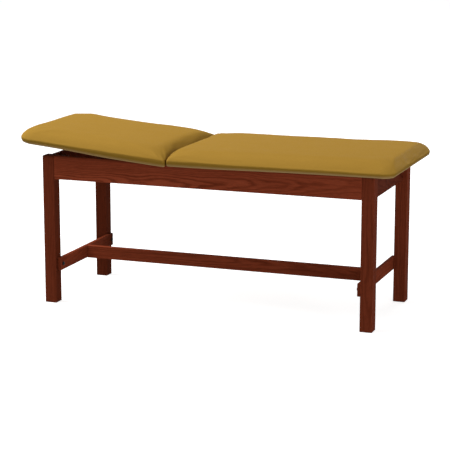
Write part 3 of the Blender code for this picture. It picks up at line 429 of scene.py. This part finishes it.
goldVinyl = {
    "colour": (0.392, 0.220, 0.0355), "deep": (0.312, 0.170, 0.0250), "pale": (0.446, 0.256, 0.0452),
    # edge is the colour of the painted shade; under is the colour of the painted light off the floor
    "edge": (0.180, 0.101, 0.0122), "under": (0.345, 0.228, 0.1040), "roughness": 0.46, "shine": 0.001,
    "grainScale": 620.0, "fineGrain": 2.2, "fineDetail": 1.0, "softScale": 13.0, "softDetail": 3.0,
    "wideScale": 2.4, "wideDetail": 2.0, "softShare": 0.2, "wideShare": 0.45,
    "creaseStops": ((0.35, 0.0), (0.75, 1.0)), "creaseShare": 0.38,
    # painted shade darkens the leaning faces, the slope by the hinge and the upright edge; painted light off
    # the floor makes it paler where it turns under
    "leaningFrom": 0.30, "leaningGain": 0.55, "uprightFrom": 0.60, "uprightGain": 1.3, "shadeShare": 0.9,
    "underFrom": 0.40, "underGain": 2.2, "underShare": 0.85,
    "softDull": 0.14, "creaseDull": 0.10,
    "fineHeight": 0.25, "cellHeight": 0.9, "bump": 0.42, "grainDepth": 0.00035}


def vinyl(name, look, seed, folded):  # folded is how much painted shade darkens the slope by the hinge
    def solid(key):
        return (*look[key], 1.0)

    def wiring(start):
        place = start.place().parts()
        where = start.along(place[0] + seed, place[1], place[2])
        pattern = {"Vector": where, "Scale": look["grainScale"]}
        cells = start.node("ShaderNodeTexVoronoi", {"feature": "SMOOTH_F1"}, pattern)
        fine = start.speckle(where, look["grainScale"] * look["fineGrain"], look["fineDetail"])
        soft = start.speckle(where, look["softScale"], look["softDetail"])
        wide = start.speckle(where, look["wideScale"], look["wideDetail"])
        creases = cells.ramp(greys(look["creaseStops"]))
        patchy = wide * look["wideShare"] + soft * look["softShare"]
        colour = patchy.blend(solid("pale"), solid("colour"))
        colour = (creases * look["creaseShare"]).blend(colour, solid("deep"))
        footward, sideways, facing = start.place("Normal").parts()
        # painted shade on faces that lean sideways or towards the hinge, and on the upright edge
        leaning = sideways.maths("ABSOLUTE").maths("MAXIMUM", footward * folded)
        leaning = ((leaning - look["leaningFrom"]) * look["leaningGain"]).clamped()
        uprightShade = ((look["uprightFrom"] - facing) * look["uprightGain"]).clamped()
        # painted light: faces that turn under are made paler, as if lit by the floor
        underLight = (facing * -look["underGain"] - look["underFrom"]).clamped()
        colour = (uprightShade.maths("MAXIMUM", leaning) * look["shadeShare"]).blend(colour, solid("edge"))
        colour = (underLight * look["underShare"]).blend(colour, solid("under"))
        dull = look["roughness"] + (soft - 0.5) * look["softDull"] + creases * look["creaseDull"]
        height = fine * look["fineHeight"] - cells * look["cellHeight"]
        pebbles = start.bump(height, look["bump"], look["grainDepth"])
        return {"Base Color": colour, "Roughness": dull, "Normal": pebbles}

    return finishOf(name, wiring, {"Specular IOR Level": look["shine"]})


padShape = {
    "width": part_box("body_cover")[1].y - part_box("body_cover")[0].y, "setback": 0.0033, "thickness": 0.0012,
    "sideShoulder": 0.115, "shoulderHeight": 0.039, "shoulderTurn": 2.6, "lipTurn": 1.25,
    "crown": 0.005, "crownPower": 2.0, "slack": 0.0035, "shoulderCorner": 0.060,
    "underside": -0.0181, "tuck": 0.012, "rollAtHinge": 0.002, "gap": 0.0003,
    "hem": 0.036, "hemAtHinge": 0.030, "hemStart": 0.004,
    "hemHang": 0.6, "hangInside": 0.02, "hangOver": 0.03,
    "cornerAtHinge": 0.012, "leastRadius": 0.006, "cornerSteps": 10, "sideSteps": 26, "endSteps": 8,
    "pleatDepth": 0.0016, "pleats": 7, "hemPleat": 1.5, "rollPleat": 0.6, "pleatAbove": 230,
    # levels from the hem up to the crown
    "hemShares": (1.0, 0.55), "rollAngles": (270, 252, 235, 220, 206, 193),
    "shoulderShares": (0.0, 0.012, 0.035, 0.07, 0.12, 0.18, 0.25, 0.33, 0.42, 0.52, 0.64, 0.78, 1.0),
    "crownShares": (0.12, 0.26, 0.42, 0.60, 0.78, 0.94),
    "frames": 18, "mostSwell": 0.0030, "leastSwell": 1e-7}
clothFeel = {
    "vertex_group_mass": "held", "quality": 5, "mass": 0.4,
    "tension_stiffness": 25.0, "compression_stiffness": 25.0, "bending_stiffness": 40.0,
    "use_pressure": True, "uniform_pressure_force": 2.0}
bodyPad = {
    "length": 1.060, "endShoulder": 0.050, "hingeShoulder": 0.034, "towards": 1, "lift": 0.0,
    "cornerRadius": 0.060, "hingeCorner": 0.060, "ease": 1.0,
    "lipDrop": 0.0020, "sag": 0.0075, "sagReach": 0.45, "sagTurn": 4,
    "fuller": 0.0100, "folded": 0.0, "body": "frame"}
backrestPad = {
    "length": 0.765, "endShoulder": 0.050, "hingeShoulder": 0.125, "towards": -1, "lift": math.radians(4.9),
    "cornerRadius": 0.102, "hingeCorner": 0.120, "ease": 0.7,
    "lipDrop": 0.0030, "sag": 0.0120, "sagReach": 0.43, "sagTurn": 6,
    # folded sets the painted shade on the backrest's slope by the hinge
    "fuller": 0.0020, "folded": 2.2, "body": "backrest"}


def padRing(pad, insets, heights, radii, pleat=0.0):
    # plan outline at one level: insets of the sides, free end and hinge edge, heights of the sides and
    # hinge edge, radii of the corners at the free end and at the hinge
    shape = padShape
    side, end, hinge = insets
    outer, inner = radii
    far = pad["length"] - end
    half = shape["width"] / 2 - side
    points = []

    def edge(first, last, steps):
        points.extend(Vector(first).lerp(Vector(last), i / steps) for i in range(steps))

    def corner(x, y, radius, start, levels, folded):
        for i in range(shape["cornerSteps"]):
            share = i / shape["cornerSteps"]
            angle = math.radians(start + 90.0 * share)
            height = levels[0] + (levels[1] - levels[0]) * share
            if folded:
                height -= pleat * abs(math.sin(shape["pleats"] * math.pi * share))
            points.append(Vector((x + radius * math.cos(angle), y + radius * math.sin(angle), height)))

    # the near half, from the middle of the hinge edge round to the middle of the free end
    edge((hinge, 0.0, heights[1]), (hinge, inner - half, heights[1]), shape["endSteps"])
    corner(hinge + inner, inner - half, inner, 180.0, (heights[1], heights[0]), False)
    edge((hinge + inner, -half, heights[0]), (far - outer, -half, heights[0]), shape["sideSteps"])
    corner(far - outer, outer - half, outer, 270.0, (heights[0], heights[0]), True)
    edge((far, outer - half, heights[0]), (far, 0.0, heights[0]), shape["endSteps"])
    points.append(Vector((far, 0.0, heights[0])))
    return points + [Vector((p.x, -p.y, p.z)) for p in reversed(points[1:-1])]


def lipRing(pad, side, hinge, heights, pleat, hang):
    # hang is the share of the sag that this level takes; the long sides hang lowest by the hinge
    shape = padShape
    radii = (max(pad["cornerRadius"] - side, shape["leastRadius"]),
             max(shape["cornerAtHinge"] - max(side, hinge), shape["leastRadius"]))
    ring = padRing(pad, (side, side, hinge), heights, radii, pleat)
    for p in ring:
        past = abs(p.y) - shape["width"] / 2 + shape["hem"] + shape["hangInside"]
        edge = min(max(past / shape["hangOver"], 0.0), 1.0)
        p.z -= pad["sag"] * hang * edge / (1 + abs(p.x / pad["sagReach"]) ** pad["sagTurn"])
    return ring


def mix(first, last, share):
    return first + (last - first) * share


def crowned(pad, ring):
    shape = padShape
    near = shape["setback"] + pad["hingeShoulder"]
    far = pad["length"] - pad["endShoulder"]
    half = shape["width"] / 2 - shape["sideShoulder"]
    rise, power = shape["crown"] - shape["slack"], shape["crownPower"]
    for p in ring:
        u = min(abs((p.x - (near + far) / 2) / ((far - near) / 2)), 1.0)
        v = min(abs(p.y / half), 1.0)
        p.z += rise * (1.0 - u ** power) * (1.0 - v ** power)
    return ring


def filled(pad, ring):  # stuffed fuller towards the free end
    for p in ring:
        p.z *= 1 + pad["fuller"] / padShape["shoulderHeight"] * min(max(p.x / pad["length"], 0.0), 1.0)
    return ring


def padRings(pad):
    # from the turned-under hem, round the tucked lip, over the shoulder and up to the crown
    shape = padShape
    hemLevel = shape["underside"] + shape["gap"]
    rings = []
    for share in shape["hemShares"]:
        side = mix(shape["tuck"], shape["hem"], share)
        hinge = mix(shape["hemStart"], shape["hemAtHinge"], share)
        heights = (hemLevel - pad["lipDrop"] * (1 - share), hemLevel)
        pleat = shape["pleatDepth"] * (shape["hemPleat"] - share)
        rings.append(lipRing(pad, side, hinge, heights, pleat, shape["hemHang"] * (1 - share)))
    tuck, small = shape["tuck"], shape["rollAtHinge"]
    lip = pad["lipDrop"] - shape["underside"]
    for degrees in shape["rollAngles"]:
        angle = math.radians(degrees)
        side, hinge = tuck + tuck * math.cos(angle), shape["setback"] + small + small * math.cos(angle)
        heights = (lip * math.sin(angle), hemLevel + small + small * math.sin(angle))
        pleat = shape["pleatDepth"] * shape["rollPleat"] if degrees > shape["pleatAbove"] else 0.0
        rings.append(lipRing(pad, side, hinge, heights, pleat, -math.sin(angle)))
    held = len(rings)
    shoulders = (shape["sideShoulder"], pad["endShoulder"], pad["hingeShoulder"])
    edges = (pad["cornerRadius"], shape["cornerAtHinge"])
    rounds = (shape["shoulderCorner"], pad["hingeCorner"])
    for share in shape["shoulderShares"]:
        turn = 1.0 - (1.0 - share) ** shape["shoulderTurn"]
        height = shape["shoulderHeight"] * turn ** (1.0 / shape["lipTurn"])
        radii = (mix(edges[0], rounds[0], share), mix(edges[1], rounds[1], share ** pad["ease"]))
        side, end, hinge = [width * share for width in shoulders]
        ring = padRing(pad, (side, end, shape["setback"] + hinge), (height, height), radii)
        rings.append(filled(pad, ring))
    span = shape["width"] / 2 - shape["sideShoulder"] - shape["leastRadius"]
    level = shape["shoulderHeight"]
    for share in shape["crownShares"]:
        side, end, hinge = [width + span * share for width in shoulders]
        radii = [mix(first, shape["leastRadius"], share) for first in rounds]
        ring = padRing(pad, (side, end, shape["setback"] + hinge), (level, level), radii)
        rings.append(filled(pad, crowned(pad, ring)))
    return rings, held


def padPlace(pad):
    along = Matrix.Diagonal((pad["towards"], 1, 1, 1))
    return Matrix.Translation(hingeLine) @ Matrix.Rotation(pad["lift"], 4, "Y") @ along


def swell(piece, heldPoints):
    # vinyl blown up a little over its foam, held along the rolled edge
    shape = padShape
    rest = [v.co.copy() for v in piece.data.vertices]
    piece.vertex_groups.new(name="held").add(heldPoints, 1.0, "REPLACE")
    cloth = piece.modifiers.new("swell", "CLOTH")
    for key, value in clothFeel.items():
        setattr(cloth.settings, key, value)
    cloth.settings.effector_weights.gravity = 0.0
    cloth.point_cache.frame_end = shape["frames"]
    for number in range(1, shape["frames"] + 1):
        bpy.context.scene.frame_set(number)
    blown = piece.evaluated_get(bpy.context.evaluated_depsgraph_get())
    moved = [v.co.copy() for v in blown.data.vertices]
    piece.modifiers.remove(cloth)
    bpy.context.scene.frame_set(1)
    most = shape["mostSwell"]
    for vertex, before, after in zip(piece.data.vertices, rest, moved):
        step = after - before
        if step.length > shape["leastSwell"]:
            vertex.co = before + step * (most * math.tanh(step.length / most) / step.length)


def makePad(name, pad, seed, stands):
    rings, held = padRings(pad)
    place = padPlace(pad)
    shape = bmesh.new()
    loops = [[shape.verts.new(place @ p) for p in ring] for ring in rings]
    skin(shape, loops)
    last = loops[-1]
    count = len(last)
    for i in range(1, count // 2 - 1):
        shape.faces.new((last[i], last[i + 1], last[count - i - 1], last[count - i]))
    shape.faces.new((last[0], last[1], last[count - 1]))
    shape.faces.new((last[count // 2 - 1], last[count // 2], last[count // 2 + 1]))
    bmesh.ops.recalc_face_normals(shape, faces=shape.faces)
    mesh = meshOf(name, shape)
    piece = added(name, mesh)
    swell(piece, list(range(count * (held + 1))))
    mesh.shade_smooth()
    rounding = piece.modifiers.new("round", "SUBSURF")
    rounding.levels = rounding.render_levels = 1
    thick = piece.modifiers.new("thickness", "SOLIDIFY")
    thick.thickness = padShape["thickness"]
    thick.offset = -1.0
    mesh.materials.append(vinyl(name + "_vinyl", goldVinyl, seed, pad["folded"]))
    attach(piece, pad["body"])
    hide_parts(*stands)
    print("padded", name, len(mesh.vertices), "points")


makePad("body_upholstery", bodyPad, 0.0, ("body_cover", "body_foam"))
makePad("backrest_upholstery", backrestPad, 3.7, ("backrest_cover", "backrest_foam"))


stapleShape = {
    "half": 0.0050, "wire": 0.0005, "rise": 0.0020, "sides": 6, "sink": 0.6,
    "first": 0.06, "pitch": 0.042, "inset": 0.031, "corner": 0.13}


def makeStaples(name, pad):
    # wire staples that hold the turned-under hem, along both sides and the free end
    size = stapleShape
    level = padShape["underside"] + padShape["gap"] - size["wire"] * size["sink"]
    half = padShape["width"] / 2 - size["inset"]
    spots = []
    run = int((pad["length"] - size["first"] - size["corner"]) / size["pitch"])
    for i in range(run + 1):
        x = size["first"] + i * size["pitch"]
        spots += [(Vector((x, y, level)), Vector((1, 0, 0))) for y in (-half, half)]
    across = int((padShape["width"] - 2 * size["corner"]) / 2 / size["pitch"])
    for i in range(-across, across + 1):
        spots.append((Vector((pad["length"] - size["inset"], i * size["pitch"], level)), Vector((0, 1, 0))))
    place = padPlace(pad)
    shape = bmesh.new()
    up = Vector((0, 0, 1))
    angles = [2 * math.pi * k / size["sides"] for k in range(size["sides"])]
    for spot, way in spots:
        aside = way.cross(up)
        path = [(way * -size["half"] + up * size["rise"], way), (way * -size["half"], way + up),
                (way * size["half"], up - way), (way * size["half"] + up * size["rise"], -way)]
        loops = []
        for point, turn in path:
            around = [size["wire"] * (aside * math.cos(a) + turn * math.sin(a)) for a in angles]
            loops.append([shape.verts.new(place @ (spot + point + out)) for out in around])
        capped(shape, loops)
    newPiece(name, shape, zinc, "zinc_steel", pad["body"])
    print("stapled", name, len(spots))


makeStaples("body_staples", bodyPad)
makeStaples("backrest_staples", backrestPad)


studio = {
    "floorSize": 60.0, "floorColour": 0.62, "floorLift": 0.78, "fill": 0.30,
    "keyPlace": (-9.0, -2.4, 10.5), "keySize": 6.0, "keyPower": 1365.0,
    "frontPlace": (6.0, -4.2, 1.2), "frontSize": 2.5, "frontPower": 185.0,
    "sidePlace": (-3.6, 0.6, 3.0), "sideSize": 1.6, "sidePower": 48.0,
    "rearPlace": (1.5, 7.0, 1.7), "rearSize": 3.0, "rearPower": 175.0, "aim": (0.0, 0.0, 0.5)}


def shownTo(start):  # what sees the white of the backdrop
    kinds = ("Camera", "Glossy", "Transmission")
    rays = [start.node("ShaderNodeLightPath", out=f"Is {kind} Ray") for kind in kinds]
    return rays[0].maths("MAXIMUM", rays[1]).maths("MAXIMUM", rays[2])


def makeFloor():
    shape = bmesh.new()
    bmesh.ops.create_grid(shape, x_segments=1, y_segments=1, size=studio["floorSize"] / 2)
    mesh = meshOf("floor", shape)
    floor = added("floor", mesh)
    material = bpy.data.materials.new("floor_paper")
    material.use_nodes = True
    tree = material.node_tree
    tree.nodes.clear()
    start = Wire(tree)
    paper = start.node("ShaderNodeBsdfDiffuse", inputs={"Color": grey(studio["floorColour"])})
    glow = start.node("ShaderNodeEmission", inputs={"Color": grey(1.0), "Strength": studio["floorLift"]})
    seen = shownTo(start)
    lifted = start.node("ShaderNodeAddShader", inputs={0: paper, 1: glow})
    mixed = start.node("ShaderNodeMixShader", inputs={0: seen, 1: paper, 2: lifted})
    tree.links.new(mixed.socket, tree.nodes.new("ShaderNodeOutputMaterial").inputs[0])
    mesh.materials.append(material)


def makeWorld():
    world = bpy.data.worlds.new("studio")
    bpy.context.scene.world = world
    world.use_nodes = True
    tree = world.node_tree
    tree.nodes.clear()
    start = Wire(tree)
    strength = shownTo(start) * (1.0 - studio["fill"]) + studio["fill"]
    sky = start.node("ShaderNodeBackground", inputs={"Color": grey(1.0), "Strength": strength})
    tree.links.new(sky.socket, tree.nodes.new("ShaderNodeOutputWorld").inputs[0])


def addLamp(name, place, size, power):
    lamp = bpy.data.lights.new(name, "AREA")
    lamp.size = size
    lamp.energy = power
    holder = added(name, lamp)
    holder.location = place
    aim = Vector(studio["aim"]) - Vector(place)
    holder.rotation_euler = aim.to_track_quat("-Z", "Y").to_euler()


viewpoint = {
    "turn": 20.35, "pitch": 11.88, "distance": 7.7795, "height": 2.0053, "aside": -0.0100,
    "middle": (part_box("leg_head_front")[0].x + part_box("leg_foot_front")[1].x) / 2,
    "lens": 134.64, "sensor": 36.0, "clip": 100.0}


def makeCamera():
    turn = math.radians(viewpoint["turn"])
    right = Vector((math.cos(turn), math.sin(turn), 0.0))
    ahead = Vector((-math.sin(turn), math.cos(turn), 0.0))
    lens = bpy.data.cameras.new("photo_view")
    lens.lens = viewpoint["lens"]
    lens.sensor_width = viewpoint["sensor"]
    lens.clip_end = viewpoint["clip"]
    camera = added("photo_view", lens)
    camera.location = (Vector((viewpoint["middle"], 0.0, viewpoint["height"])) + right * viewpoint["aside"]
                       - ahead * viewpoint["distance"])
    camera.rotation_euler = (math.radians(90.0 - viewpoint["pitch"]), 0.0, turn)
    bpy.context.scene.camera = camera


makeFloor()
makeWorld()
for lamp in ("key", "front", "side", "rear"):
    addLamp(lamp, studio[lamp + "Place"], studio[lamp + "Size"], studio[lamp + "Power"])
makeCamera()
bpy.context.scene.view_settings.view_transform = "Standard"
print("stage set")
